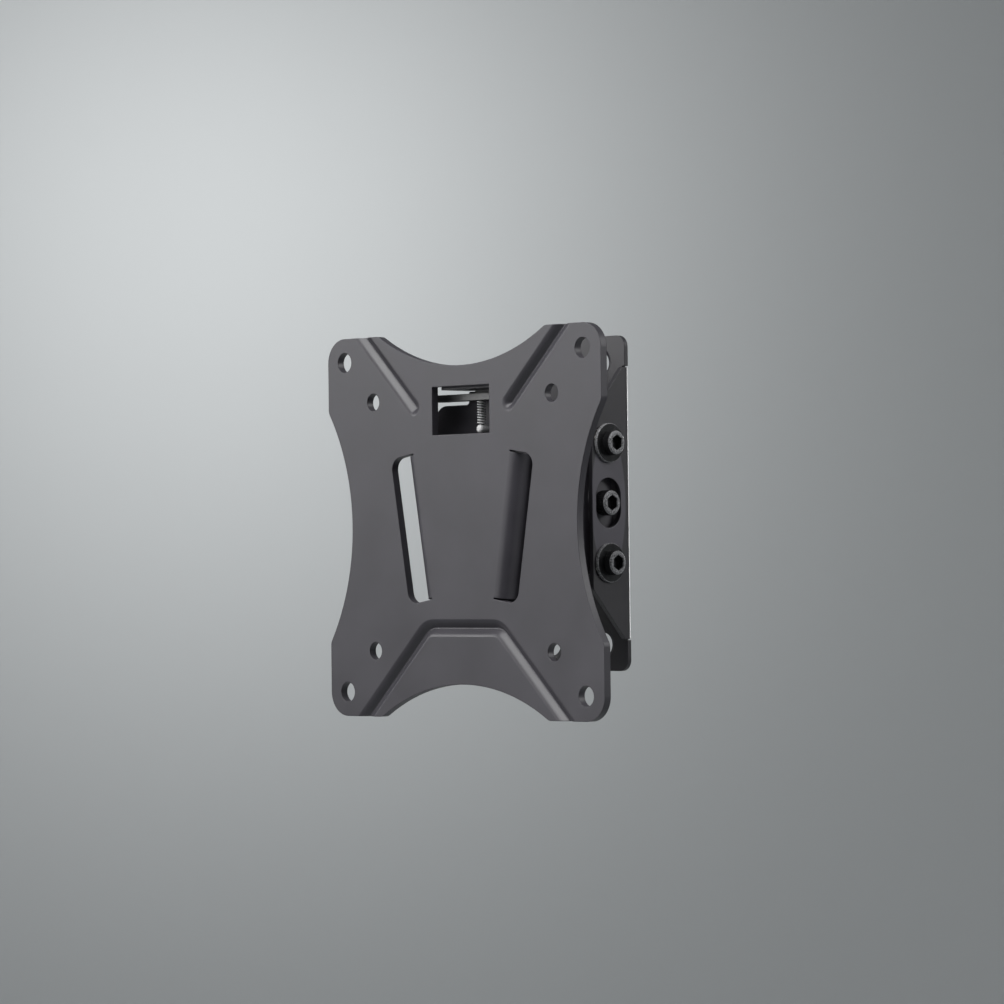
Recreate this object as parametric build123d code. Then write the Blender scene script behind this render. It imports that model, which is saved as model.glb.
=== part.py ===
"""Tilting wall bracket for a small screen: wall plate, tilt yoke, receiver, front plate and lock.

Millimetres. The wall is the plane Y = 0 and the bracket stands out of it towards -Y, with +Z up.
The origin is the middle of the wall plate's back face, level with the row of clamp bolts.
"""

import os
from math import asin, cos, degrees, hypot, radians, sin, tan

from build123d import *

# Wall plate, a folded sheet with two side flanges
WALL_WIDTH = 44.0
WALL_HEIGHT = 101.0
WALL_SHEET = 1.5
WALL_BEND = 0.4
WALL_CORNER = 3.4
EAR_INSET = 0.8
FLANGE_REACH = 16.9
FLANGE_ROOT_HEIGHT = 81.6
FLANGE_TIP_HEIGHT = 51.4
FLANGE_LIP = 3.3
FLANGE_CORNER = 2.0
RELIEF_WIDTH = 0.4
WALL_HOLE = 7.0
WALL_HOLES_ACROSS = 21.6
WALL_HOLES_UP = 85.0
DISH_WIDTH = 1.2
DISH_DEPTH = 0.6

# Tilt: clamp bolts run in arc slots about a line in front of the bolt row
TILT_LIMIT = 10.0
BOLT_SETBACK = 10.0
BOLT_PITCH = 17.9
PIVOT_LEAD = 14.0
SLOT_CLEARANCE = 0.2
SLOT_OVERRUN = 0.4
RUNNING_GAP = 0.1

# Screws, washers and nuts
BOLT = 4.0
BOLT_CLEARANCE = 0.1
BOLT_TAIL = 1.0
THREAD_GAP = 0.05
CLAMP_HEAD = 7.4
CLAMP_HEAD_HEIGHT = 2.8
MIDDLE_HEAD = 7.6
MIDDLE_HEAD_HEIGHT = 4.2
MIDDLE_GRIP = 9.0
HEAD_EDGE = 0.5
SOCKET = 3.6
SOCKET_DEPTH = 1.8
WASHER = 11.8
WASHER_THICKNESS = 1.0
WASHER_EDGE = 0.25
FRICTION_WASHER = 7.2
FRICTION_WASHER_THICKNESS = 0.8
NUT = 7.0
NUT_HEIGHT = 3.2
NUT_COLLAR = 6.0
NUT_COLLAR_HEIGHT = 1.8
NUT_CHAMFER = 0.6
OPENING_SIDE_ROOM = 1.6
OPENING_END_ROOM = 3.7

# Tilt yoke, a folded U between the wall flanges
YOKE_SHEET = 2.0
YOKE_BEND = 1.5
YOKE_WEB_HEIGHT = 36.0
YOKE_EAR = 4.2
YOKE_EAR_FLAT = 0.2
ROD = 8.0

# Front plate, one pressed sheet in a frame of its own: x right, y up, z out of its face
PLATE_FRONT = 50.0
PLATE_DROP = 6.2
PLATE_SHEET = 2.5
PLATE_SIZE = 114.6
WAIST_DEPTH = 10.1
WAIST_CHORD = 70.0
WAIST_SOFTENING = 3.0
OUTER_PATTERN = 100.0
OUTER_HOLE = 6.0
INNER_PATTERN = 75.0
INNER_HOLE = 5.3

# Pressed grooves of the front plate
GROOVE_RIM = 4.2
GROOVE_FLOOR = 0.4
GROOVE_DEPTH = 1.7
GROOVE_RIM_RADIUS = 2.6
GROOVE_FLOOR_RADIUS = 0.4
GROOVE_ANGLE = 45.0
GROOVE_RISE = 0.06
TOP_GROOVE_END_X = 20.0
TOP_GROOVE_END_Y = 35.4
LOW_GROOVE_HALF_RUN = 15.2
LOW_GROOVE_Y = -30.5
LOW_GROOVE_BEND = 6.0
RIDGE_BASE = 7.4
RIDGE_CREST = 3.4
RIDGE_SOFTENING = 1.2

# Slanted slots of the front plate, and the tabs folded back along their inner edges
TAB_ANGLE = 9.6
TAB_HALF_SPREAD = 20.2
TAB_BEND = 1.0
TAB_END_GAP = 0.5
SLOT_WIDTH = 6.4
SLOT_TOP = 21.0
SLOT_BOTTOM = -22.6
SLOT_CORNER = 3.6

# Window of the front plate, and the catch tab folded back along its top edge
WINDOW_HALF_WIDTH = 12.0
WINDOW_HEIGHT = 13.4
CATCH_MARGIN = 7.0
CATCH_LIP = 0.9
CATCH_SHEET = 2.0
CATCH_REACH = 13.9
CATCH_LEG = 5.5
CATCH_SIDE_ROOM = 1.5
CATCH_HOLE_GAP = 0.5

# Receiver, a folded V channel that the front plate's tabs drop into
RECEIVER_SHEET = 2.0
RECEIVER_BEND = 1.5
RECEIVER_DEPTH = 9.5
RECEIVER_REACH = 5.4
RECEIVER_PLAY = 0.15
RECEIVER_WALL_TOP = 25.0
RECEIVER_WALL_BOTTOM = -26.0
RECEIVER_BAR_GAP = 1.0
RECEIVER_CORNER = 5.0
TONGUE_HALF_WIDTH = 8.4
TONGUE_ROOT = 1.0
TONGUE_CORNER = 0.6
TONGUE_CATCH_GAP = 0.3
RIVET = 4.0
RIVET_HEAD = 7.0
RIVET_HEAD_HEIGHT = 1.1
RIVET_RIM = 0.2
RIVETS_ACROSS = 22.0
RIVETS_UP = 22.0

# Lock: a sprung bar with a tooth that catches the front plate's catch tab
LOCK_TRAVEL = 3.0
LOCK_RELEASE_ROOM = 0.8
BAR_CATCH_GAP = 1.2
BAR_SHEET = 2.0
BAR_LENGTH = 40.0
BAR_FRONT = 6.8
BAR_WEB_GAP = 0.3
BAR_END_RADIUS = 2.0
TOOTH_WIDTH = 7.0
TOOTH_BEND = 0.3
TOOTH_CORNER = 1.0
GUIDE = 1.3
GUIDE_GAP = 0.06
GUIDE_DEPTH = 8.8
PIN = 2.6
PIN_BELOW_BAR = 10.5
PIN_OVERHANG = 1.4
PIN_END_RADIUS = 0.9
PIN_TAIL = 4.2
PIN_TAIL_HEIGHT = 0.9
PIN_TAIL_ROOM = 0.5
CLIP = 2.8
CLIP_THICKNESS = 0.8
GUIDE_TAIL = 0.5
SPRING = 2.7
SPRING_WIRE = 0.4
SPRING_WIRE_FLAT_COUNT = 6
SPRING_TURNS = 8.5
SPRING_SEAT_GAP = 0.1

LEFT, RIGHT = -1, 1
LOWER, UPPER = -1, 1
SIDES = {"left": LEFT, "right": RIGHT}
ROWS = {"lower": LOWER, "upper": UPPER}

# Faces along X, on the right-hand side
flange_outer = WALL_WIDTH / 2
flange_inner = flange_outer - WALL_SHEET
yoke_outer = flange_inner - 2 * RUNNING_GAP - FRICTION_WASHER_THICKNESS
yoke_inner = yoke_outer - YOKE_SHEET
washer_inner = flange_outer + RUNNING_GAP
washer_outer = washer_inner + WASHER_THICKNESS

# Faces along Y
bolt_y = -BOLT_SETBACK
pivot_y = bolt_y - PIVOT_LEAD
plate_back = PLATE_SHEET
web_front = plate_back + RECEIVER_DEPTH
web_back = web_front + RECEIVER_SHEET
tab_reach = web_front - RECEIVER_BEND - RUNNING_GAP
bar_back = web_front - BAR_WEB_GAP
yoke_front = PLATE_FRONT - web_back

# Heights in the front plate's frame, from its top waist down to the clip under the lock
catch_underside = PLATE_SIZE / 2 - WAIST_DEPTH - CATCH_MARGIN
window_bottom = catch_underside - WINDOW_HEIGHT
tongue_top = catch_underside - TONGUE_CATCH_GAP
tooth_top = catch_underside + LOCK_TRAVEL - LOCK_RELEASE_ROOM
bar_top = catch_underside - BAR_CATCH_GAP
receiver_top = bar_top - BAR_SHEET - RECEIVER_BAR_GAP
pin_height = bar_top - PIN_BELOW_BAR
clip_top = pin_height - PIN / 2 - RUNNING_GAP

# The front plate's own frame, and its side view (depth, height) and top view (x, depth)
plate_frame = Plane(origin=(0, -PLATE_FRONT, -PLATE_DROP), x_dir=(1, 0, 0), z_dir=(0, -1, 0))
side_view = Plane(origin=(0, 0, 0), x_dir=(0, 0, -1), z_dir=(1, 0, 0))
top_view = Plane(origin=(0, 0, 0), x_dir=(1, 0, 0), z_dir=(0, 1, 0))
bolt_holes = [(bolt_y, row * BOLT_PITCH) for row in ROWS.values()]


def on_side(side, shape):
    """A shape drawn on the right-hand side, or its mirror image on the left."""
    return shape if side == RIGHT else mirror(shape, about=Plane.YZ)


def beside(x, height=0.0):
    """Frame on a bolt axis: its origin x millimetres to the right, its z axis pointing outwards."""
    return Plane.YZ.offset(x) * Pos(bolt_y, height)


def side_prism(sketch, width):
    """Prism of a side view, drawn with Y across and Z up, over the whole width of the bracket."""
    return extrude(Plane.YZ * sketch, amount=width / 2, both=True)


def folded_channel(outer, front, back, sheet, bend, height):
    """U channel of folded sheet, web on the `front` side, with its flanges reaching to `back`."""
    towards = 1 if back > front else -1
    reach = abs(back - front)
    outside = bend + sheet
    block = Pos(0, reach / 2) * Rectangle(2 * outer, reach)
    hollow = Pos(0, sheet + reach / 2) * Rectangle(2 * (outer - sheet), reach)
    block = fillet(block.vertices().group_by(Axis.Y)[0], outside)
    hollow = fillet(hollow.vertices().group_by(Axis.Y)[0], bend)
    section = block - hollow
    if towards < 0:
        section = mirror(section, about=Plane.XZ)
    return extrude(Pos(0, front) * section, amount=height / 2, both=True)


def arc_slot(bolt, width):
    """Side view of a slot that lets a bolt swing about the tilt line by the tilt limit each way."""
    bolt_from_pivot = Vector(bolt[0] - pivot_y, bolt[1])
    radius = bolt_from_pivot.length
    middle = degrees(asin(bolt_from_pivot.Y / radius))
    swing = TILT_LIMIT + degrees(SLOT_OVERRUN / radius)
    path = CenterArc((pivot_y, 0), radius, middle - swing, 2 * swing)
    return SlotArc(path, width)


def wall_plate():
    root, tip = FLANGE_ROOT_HEIGHT / 2, FLANGE_TIP_HEIGHT / 2
    channel = folded_channel(flange_outer, 0, -FLANGE_REACH, WALL_SHEET, WALL_BEND, FLANGE_ROOT_HEIGHT)
    flange_view = Polygon(
        (0, -root), (-FLANGE_LIP, -root), (-FLANGE_REACH, -tip),
        (-FLANGE_REACH, tip), (-FLANGE_LIP, root), (0, root), align=None,
    )
    flange_view = fillet(flange_view.vertices().group_by(Axis.X)[0], FLANGE_CORNER)
    channel = channel & side_prism(flange_view, 2 * WALL_WIDTH)

    # The sheet above and below the flanges stays flat, with a relief slit at each flange end
    sheet = Rectangle(WALL_WIDTH - 2 * EAR_INSET, WALL_HEIGHT)
    sheet = fillet(sheet.vertices(), WALL_CORNER)
    bend_strip = WALL_BEND + WALL_SHEET
    notch = Rectangle(bend_strip, FLANGE_ROOT_HEIGHT + 2 * RELIEF_WIDTH)
    sheet -= [Pos(side * (flange_outer - bend_strip / 2), 0) * notch for side in SIDES.values()]
    plate = extrude(Plane.XZ * sheet, amount=WALL_SHEET) + channel

    holes = GridLocations(WALL_HOLES_ACROSS, WALL_HOLES_UP, 2, 2)
    drill = Cylinder(WALL_HOLE / 2, 3 * WALL_SHEET)
    dish = Pos(0, 0, WALL_SHEET - DISH_DEPTH / 2) * Cone(
        WALL_HOLE / 2, WALL_HOLE / 2 + DISH_WIDTH, DISH_DEPTH
    )
    plate -= [Plane.XZ * at * drill for at in holes]
    plate -= [Plane.XZ * at * dish for at in holes]

    slots = Sketch() + [arc_slot(bolt, BOLT + 2 * SLOT_CLEARANCE) for bolt in bolt_holes]
    room = SlotOverall(
        MIDDLE_HEAD + 2 * OPENING_END_ROOM, MIDDLE_HEAD + 2 * OPENING_SIDE_ROOM, rotation=90
    )
    slots += Pos(bolt_y, 0) * room
    return plate - side_prism(slots, 2 * WALL_WIDTH)


def tilt_yoke():
    """Folded U with ears for the bolts, whose web keeps clear of the spring pin's tail."""
    rear = bolt_y + YOKE_EAR
    ear_height = BOLT_PITCH + YOKE_EAR
    half_web = YOKE_WEB_HEIGHT / 2
    blank_height = 2 * max(ear_height, half_web)
    channel = folded_channel(yoke_outer, -yoke_front, rear, YOKE_SHEET, YOKE_BEND, blank_height)
    flank = Polygon(
        (-yoke_front, -half_web), (-yoke_front, half_web),
        (bolt_y, ear_height), (rear, ear_height),
        (rear, -ear_height), (bolt_y, -ear_height), align=None,
    )
    ears = flank.vertices().group_by(Axis.X)[-1]
    flank = fillet(ears, YOKE_EAR - YOKE_EAR_FLAT)
    yoke = channel & side_prism(flank, 4 * yoke_outer)
    hole = Circle(BOLT / 2 + BOLT_CLEARANCE)
    holes = Sketch() + [Pos(*bolt) * hole for bolt in [*bolt_holes, (bolt_y, 0)]]
    yoke -= side_prism(holes, 4 * yoke_outer)
    tail_room = Pos(0, pin_height, -web_back) * Cylinder(PIN_TAIL / 2 + PIN_TAIL_ROOM, 4 * YOKE_SHEET)
    yoke -= plate_frame * tail_room
    return yoke - rivet_holes()


def rivet_place(side, row):
    """Rivet axis on the receiver's web, in the plate frame, centred on the bolt row."""
    return Pos(side * RIVETS_ACROSS / 2, PLATE_DROP + row * RIVETS_UP / 2)


def rivet_holes():
    drill = Pos(0, 0, -web_back) * Cylinder(RIVET / 2, 4 * RECEIVER_SHEET + 4 * YOKE_SHEET)
    places = [rivet_place(side, row) for side in SIDES.values() for row in ROWS.values()]
    return [plate_frame * place * drill for place in places]


def receiver_rivet(side, row):
    grip = RECEIVER_SHEET + YOKE_SHEET
    button = Pos(0, 0, RIVET_HEAD_HEIGHT / 2) * Cylinder(RIVET_HEAD / 2, RIVET_HEAD_HEIGHT)
    button = chamfer(button.edges().group_by(Axis.Z)[-1], RIVET_HEAD_HEIGHT - RIVET_RIM)
    head = Pos(0, 0, -web_front) * button
    shank = Pos(0, 0, -web_front - grip / 2) * Cylinder(RIVET / 2, grip)
    tail = Pos(0, 0, -web_front - grip) * mirror(button, about=Plane.XY)
    return plate_frame * rivet_place(side, row) * (head + shank + tail)


def cross_rod():
    rod = beside(0) * Cylinder(ROD / 2, 2 * yoke_inner)
    tapped_depth = MIDDLE_GRIP + BOLT_TAIL
    tapped = beside(yoke_inner - tapped_depth / 2) * Cylinder(BOLT / 2 + THREAD_GAP, tapped_depth)
    return rod - [on_side(side, tapped) for side in SIDES.values()]


def socket_screw(head, head_height, shank):
    """Socket-head screw along Z, with the underside of its head at Z = 0."""
    top = Pos(0, 0, head_height / 2) * Cylinder(head / 2, head_height)
    top = chamfer(top.edges().group_by(Axis.Z)[-1], HEAD_EDGE)
    socket = extrude(RegularPolygon(SOCKET / 2, 6, major_radius=False), amount=-SOCKET_DEPTH)
    stem = Pos(0, 0, -shank / 2) * Cylinder(BOLT / 2, shank)
    stem = chamfer(stem.edges().group_by(Axis.Z)[0], HEAD_EDGE)
    return top - Pos(0, 0, head_height) * socket + stem


def clamp_bolt(side, row):
    shank = washer_outer - yoke_inner + NUT_HEIGHT + NUT_COLLAR_HEIGHT + BOLT_TAIL
    screw = socket_screw(CLAMP_HEAD, CLAMP_HEAD_HEIGHT, shank)
    return on_side(side, beside(washer_outer, row * BOLT_PITCH) * screw)


def middle_bolt(side):
    screw = socket_screw(MIDDLE_HEAD, MIDDLE_HEAD_HEIGHT, YOKE_SHEET + MIDDLE_GRIP)
    return on_side(side, beside(yoke_outer) * screw)


def ring(outside, bore, thickness):
    """Flat washer along Z, standing on Z = 0."""
    return extrude(Circle(outside / 2) - Circle(bore / 2), amount=thickness)


def clamp_washer(side, row):
    washer = ring(WASHER, BOLT + 2 * BOLT_CLEARANCE, WASHER_THICKNESS)
    rims = washer.edges().filter_by(GeomType.CIRCLE).group_by(SortBy.RADIUS)[-1]
    washer = chamfer(rims.group_by(Axis.Z)[-1], WASHER_EDGE)
    return on_side(side, beside(washer_inner, row * BOLT_PITCH) * washer)


def friction_washer(side, row):
    washer = ring(FRICTION_WASHER, BOLT + 2 * BOLT_CLEARANCE, FRICTION_WASHER_THICKNESS)
    return on_side(side, beside(yoke_outer, row * BOLT_PITCH) * washer)


def lock_nut(side, row):
    """Hexagon nut with a round collar, its flat side against the yoke's inner face."""
    hexagon = extrude(RegularPolygon(NUT / 2, 6, major_radius=False), amount=-NUT_HEIGHT)
    point_radius = NUT / 2 / cos(radians(30))
    turned = Pos(0, 0, -NUT_HEIGHT / 2) * Cylinder(point_radius, NUT_HEIGHT)
    turned = chamfer(turned.edges(), NUT_CHAMFER / 2, NUT_CHAMFER)
    collar_middle = -NUT_HEIGHT - NUT_COLLAR_HEIGHT / 2
    collar = Pos(0, 0, collar_middle) * Cylinder(NUT_COLLAR / 2, NUT_COLLAR_HEIGHT)
    collar = chamfer(collar.edges().group_by(Axis.Z)[0], NUT_CHAMFER)
    bore = Cylinder(BOLT / 2 + THREAD_GAP, 4 * NUT_HEIGHT)
    nut = (hexagon & turned) + collar - bore
    return on_side(side, beside(yoke_inner, row * BOLT_PITCH) * nut)


def plate_outline():
    half = PLATE_SIZE / 2
    corner = (PLATE_SIZE - OUTER_PATTERN) / 2
    radius = (WAIST_CHORD ** 2 / 4 + WAIST_DEPTH ** 2) / (2 * WAIST_DEPTH)
    hollow = Pos(half - WAIST_DEPTH + radius, 0) * Circle(radius)
    outline = RectangleRounded(PLATE_SIZE, PLATE_SIZE, corner)
    outline -= [Rot(0, 0, 90 * turn) * hollow for turn in range(4)]
    reach = hypot(half, WAIST_CHORD / 2)
    kinks = [v for v in outline.vertices() if abs(hypot(v.X, v.Y) - reach) < corner / 10]
    return fillet(kinks, WAIST_SOFTENING)


def groove_profile():
    """Section of a pressed groove: x across it, y out of the plate's front face."""
    far = GROOVE_RIM
    section = Polygon(
        (-far, GROOVE_DEPTH), (-far, GROOVE_RISE), (-GROOVE_RIM / 2, GROOVE_RISE),
        (-GROOVE_FLOOR / 2, -GROOVE_DEPTH), (GROOVE_FLOOR / 2, -GROOVE_DEPTH),
        (GROOVE_RIM / 2, GROOVE_RISE), (far, GROOVE_RISE), (far, GROOVE_DEPTH), align=None,
    )
    rims = [v for v in section.vertices() if abs(abs(v.X) - GROOVE_RIM / 2) < GROOVE_RISE]
    section = fillet(rims, GROOVE_RIM_RADIUS)
    return fillet(section.vertices().group_by(Axis.Y)[0], GROOVE_FLOOR_RADIUS)


def ridge_profile():
    """Section of the ridge that a groove leaves on the plate's back."""
    root, crest = -PLATE_SHEET / 2, -PLATE_SHEET - GROOVE_DEPTH
    section = Polygon(
        (-RIDGE_BASE / 2, root), (-RIDGE_BASE / 2, -PLATE_SHEET), (-RIDGE_CREST / 2, crest),
        (RIDGE_CREST / 2, crest), (RIDGE_BASE / 2, -PLATE_SHEET), (RIDGE_BASE / 2, root), align=None,
    )
    return fillet(section.vertices().group_by(Axis.Y)[0], RIDGE_SOFTENING)


def along(path, profile):
    """Sweep a groove or ridge section along a path in the plate's face."""
    heading = path % 0
    start = Plane(origin=path @ 0, x_dir=Vector(0, 0, 1).cross(heading), z_dir=heading)
    return sweep(start * profile, path)


def round_end(profile, place):
    """Turn half of a groove or ridge section about a groove's closed end."""
    half = profile & Pos(PLATE_SIZE / 2, 0) * Rectangle(PLATE_SIZE, PLATE_SIZE)
    return place * revolve(Plane.XZ * half, Axis.Z)


def pressed(profile):
    """All runs of one section: two grooves open at the top edge and one round the bottom lobe."""
    slope = tan(radians(GROOVE_ANGLE))
    over = PLATE_SIZE / 2 + GROOVE_RIM
    top_run = (over - TOP_GROOVE_END_Y) / slope
    low_run = (over + LOW_GROOVE_Y) / slope
    shapes = []
    for side in SIDES.values():
        end = Vector(side * TOP_GROOVE_END_X, TOP_GROOVE_END_Y)
        shapes.append(along(Line(end, (end.X + side * top_run, over)), profile))
        shapes.append(round_end(profile, Pos(end)))
    low_path = FilletPolyline(
        (-LOW_GROOVE_HALF_RUN - low_run, -over), (-LOW_GROOVE_HALF_RUN, LOW_GROOVE_Y),
        (LOW_GROOVE_HALF_RUN, LOW_GROOVE_Y), (LOW_GROOVE_HALF_RUN + low_run, -over),
        radius=LOW_GROOVE_BEND,
    )
    shapes.append(along(low_path, profile))
    return shapes


def tab_frame():
    """Plane on the right tab's outer face line: x outwards, y up along the slant, z to the front."""
    lean = radians(TAB_ANGLE)
    return Plane(origin=(TAB_HALF_SPREAD, 0, 0), x_dir=(cos(lean), -sin(lean), 0), z_dir=(0, 0, 1))


def tab_section():
    """Section of a folded-back tab: x from its outer face, y back from the plate's front face."""
    return Rot(0, 0, 90) * folded_strip(tab_reach, PLATE_SHEET, TAB_BEND)


def slanted(section, bottom, top):
    """Extrude a section, drawn as x outwards and y back, up the slant between two heights."""
    frame = tab_frame()
    rise = 1 / cos(radians(TAB_ANGLE))
    start = Plane(origin=frame.origin + frame.y_dir * (bottom * rise), x_dir=frame.x_dir, z_dir=frame.y_dir)
    return extrude(start * section, amount=(top - bottom) * rise)


def slot_cut():
    """Right-hand slot, from its tab's fold line to its outer edge with rounded corners."""
    fold = TAB_BEND + PLATE_SHEET
    rise = 1 / cos(radians(TAB_ANGLE))
    middle = (SLOT_TOP + SLOT_BOTTOM) / 2 * rise
    length = (SLOT_TOP - SLOT_BOTTOM) * rise
    shape = Pos((SLOT_WIDTH - fold) / 2, middle) * Rectangle(SLOT_WIDTH + fold, length)
    shape = fillet(shape.vertices().group_by(Axis.X)[-1], SLOT_CORNER)
    return extrude(tab_frame() * shape, amount=2 * PLATE_SHEET, both=True)


def folded_strip(reach, sheet, bend):
    """Side view of a strip folded back: it leaves a face at depth 0 and lies on height 0 to `sheet`."""
    outside = bend + sheet
    elbow = Pos(outside, outside) * (Circle(outside) - Circle(bend))
    elbow &= Pos(outside / 2, outside / 2) * Rectangle(outside, outside)
    length = reach - outside
    return elbow + Pos(outside + length / 2, sheet / 2) * Rectangle(length, sheet)


def catch_angle():
    """Angle welded to the plate's back over the window, with the hole that the lock's tooth enters."""
    shelf = CATCH_REACH - plate_back
    section = Pos(shelf / 2, CATCH_SHEET / 2) * Rectangle(shelf, CATCH_SHEET)
    section += Pos(CATCH_SHEET / 2, CATCH_LEG / 2) * Rectangle(CATCH_SHEET, CATCH_LEG)
    section = Pos(plate_back, catch_underside) * section
    angle = extrude(side_view * section, amount=WINDOW_HALF_WIDTH - CATCH_SIDE_ROOM, both=True)
    tooth_middle = bar_back - BAR_SHEET / 2
    hole = Pos(0, tooth_middle) * Rectangle(
        TOOTH_WIDTH + 2 * CATCH_HOLE_GAP, BAR_SHEET + 2 * CATCH_HOLE_GAP
    )
    return angle - extrude(top_view.offset(catch_underside) * hole, amount=2 * CATCH_SHEET, both=True)


def window_cut():
    """Window whose top edge stands a lip above the catch's underside."""
    height = catch_underside + CATCH_LIP - window_bottom
    shape = Pos(0, window_bottom + height / 2) * Rectangle(2 * WINDOW_HALF_WIDTH, height)
    return extrude(shape, amount=2 * PLATE_SHEET, both=True)


def vesa_plate():
    outline = plate_outline()
    plate = extrude(outline, amount=-PLATE_SHEET)
    column = extrude(outline, amount=2 * GROOVE_RIM, both=True)
    plate += [ridge & column for ridge in pressed(ridge_profile())]
    plate -= pressed(groove_profile())
    for pattern, hole in ((OUTER_PATTERN, OUTER_HOLE), (INNER_PATTERN, INNER_HOLE)):
        drill = Cylinder(hole / 2, 4 * PLATE_SHEET)
        plate -= [at * drill for at in GridLocations(pattern, pattern, 2, 2)]

    plate -= window_cut()
    plate += catch_angle()
    tab = slanted(tab_section(), SLOT_BOTTOM + TAB_END_GAP, SLOT_TOP - TAB_END_GAP)
    for side in SIDES.values():
        plate -= on_side(side, slot_cut())
        plate += on_side(side, tab)
    return plate_frame * plate


def receiver_section():
    """Section of a receiver wall and its fold into the web: x from the tab's face, y back."""
    inner = RECEIVER_PLAY
    outside = RECEIVER_BEND + RECEIVER_SHEET
    centre = Pos(inner - RECEIVER_BEND, web_front - RECEIVER_BEND)
    elbow = centre * (Circle(outside) - Circle(RECEIVER_BEND))
    elbow &= centre * Pos(outside / 2, outside / 2) * Rectangle(outside, outside)
    wall_length = RECEIVER_REACH - RECEIVER_BEND
    wall_middle = web_front - RECEIVER_REACH + wall_length / 2
    wall = Pos(inner + RECEIVER_SHEET / 2, wall_middle) * Rectangle(RECEIVER_SHEET, wall_length)
    return elbow + wall


def v_receiver():
    """Web with a tongue behind the lock bar, and a slanted wall folded forward at each side."""
    lean = radians(TAB_ANGLE)
    fold = RECEIVER_PLAY - RECEIVER_BEND
    half_top = TAB_HALF_SPREAD + fold / cos(lean) + RECEIVER_WALL_TOP * tan(lean)
    half_bottom = TAB_HALF_SPREAD + fold / cos(lean) + RECEIVER_WALL_BOTTOM * tan(lean)
    web = Polygon(
        (-half_bottom, RECEIVER_WALL_BOTTOM), (half_bottom, RECEIVER_WALL_BOTTOM),
        (half_top, RECEIVER_WALL_TOP), (half_top, receiver_top),
        (-half_top, receiver_top), (-half_top, RECEIVER_WALL_TOP), align=None,
    )
    web = fillet(web.vertices().group_by(Axis.Y)[-1], RECEIVER_CORNER)
    tongue = Pos(0, receiver_top) * Rectangle(2 * TONGUE_HALF_WIDTH, 2 * (tongue_top - receiver_top))
    web += fillet(tongue.vertices().group_by(Axis.Y)[-1], TONGUE_CORNER)
    shoulder = web.vertices().group_by(Axis.Y)[-3].sort_by(Axis.X)
    web = fillet(shoulder[1:-1], TONGUE_ROOT)
    receiver = Pos(0, 0, -web_front) * extrude(web, amount=-RECEIVER_SHEET)
    wall = slanted(receiver_section(), RECEIVER_WALL_BOTTOM, RECEIVER_WALL_TOP)
    receiver += [on_side(side, wall) for side in SIDES.values()]
    receiver -= Pos(0, pin_height, -web_back) * Cylinder(PIN / 2, 4 * RECEIVER_SHEET)
    return plate_frame * receiver - rivet_holes()


def standing(sketch, bottom, top):
    """Extrude a sketch upwards about the guide rod's axis, between two heights in the plate frame."""
    return extrude(top_view.offset(bottom) * Pos(0, GUIDE_DEPTH) * sketch, amount=top - bottom)


def lock_bar():
    """Flat strip with a tooth folded up from the middle of its back edge."""
    depth = bar_back - BAR_FRONT
    strip = Pos(0, BAR_FRONT + depth / 2) * RectangleRounded(BAR_LENGTH, depth, BAR_END_RADIUS)
    bar = extrude(top_view.offset(bar_top) * strip, amount=-BAR_SHEET)
    fold = TOOTH_BEND + BAR_SHEET
    seat = Pos(0, bar_back - fold / 2) * Rectangle(TOOTH_WIDTH, fold)
    bar -= extrude(top_view.offset(bar_top) * seat, amount=-2 * BAR_SHEET)
    tooth = folded_strip(tooth_top - bar_top + BAR_SHEET, BAR_SHEET, TOOTH_BEND)
    tooth = Pos(bar_back, bar_top - BAR_SHEET) * Rot(0, 0, 90) * tooth
    tooth = extrude(side_view * tooth, amount=TOOTH_WIDTH / 2, both=True)
    bar += fillet(tooth.edges().filter_by(Axis.Z).group_by(Axis.Y)[-1], TOOTH_CORNER)
    bar -= standing(Circle(GUIDE / 2 + GUIDE_GAP), bar_top - 2 * BAR_SHEET, bar_top + BAR_SHEET)
    return plate_frame * bar


def spring_pin():
    """Pin riveted through the receiver's web, cross-drilled for the guide rod."""
    front = GUIDE_DEPTH - PIN_OVERHANG
    length = web_back - front
    pin = Pos(0, pin_height, -front - length / 2) * Cylinder(PIN / 2, length)
    pin = fillet(pin.edges().group_by(Axis.Z)[-1], PIN_END_RADIUS)
    tail = Pos(0, pin_height, -web_back - PIN_TAIL_HEIGHT / 2) * Cylinder(PIN_TAIL / 2, PIN_TAIL_HEIGHT)
    tail = chamfer(tail.edges().group_by(Axis.Z)[0], PIN_TAIL_HEIGHT / 2)
    pin -= standing(Circle(GUIDE / 2 + GUIDE_GAP), pin_height - PIN, pin_height + PIN)
    return plate_frame * (pin + tail)


def lock_guide_rod():
    rod = standing(Circle(GUIDE / 2), clip_top - CLIP_THICKNESS - GUIDE_TAIL, bar_top)
    return plate_frame * rod


def lock_clip():
    """Open ring that snaps on the guide rod below the pin."""
    clip = Circle(CLIP / 2) - Circle(GUIDE / 2)
    clip -= Pos(0, -CLIP / 2) * Rectangle(GUIDE / 2, CLIP)
    return plate_frame * standing(clip, clip_top - CLIP_THICKNESS, clip_top)


def lock_spring():
    """Coil of a wire with a few flats, which keeps its facets few."""
    bottom = pin_height + PIN / 2 + SPRING_SEAT_GAP
    top = bar_top - BAR_SHEET - SPRING_SEAT_GAP
    height = top - bottom - SPRING_WIRE
    coil = Helix(height / SPRING_TURNS, height, (SPRING - SPRING_WIRE) / 2)
    section = RegularPolygon(SPRING_WIRE / 2, SPRING_WIRE_FLAT_COUNT)
    wire = Plane(origin=coil @ 0, z_dir=coil % 0) * section
    spring = sweep(wire, coil, is_frenet=True)
    seat = top_view.offset(bottom + SPRING_WIRE / 2) * Pos(0, GUIDE_DEPTH)
    return plate_frame * seat * spring


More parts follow.
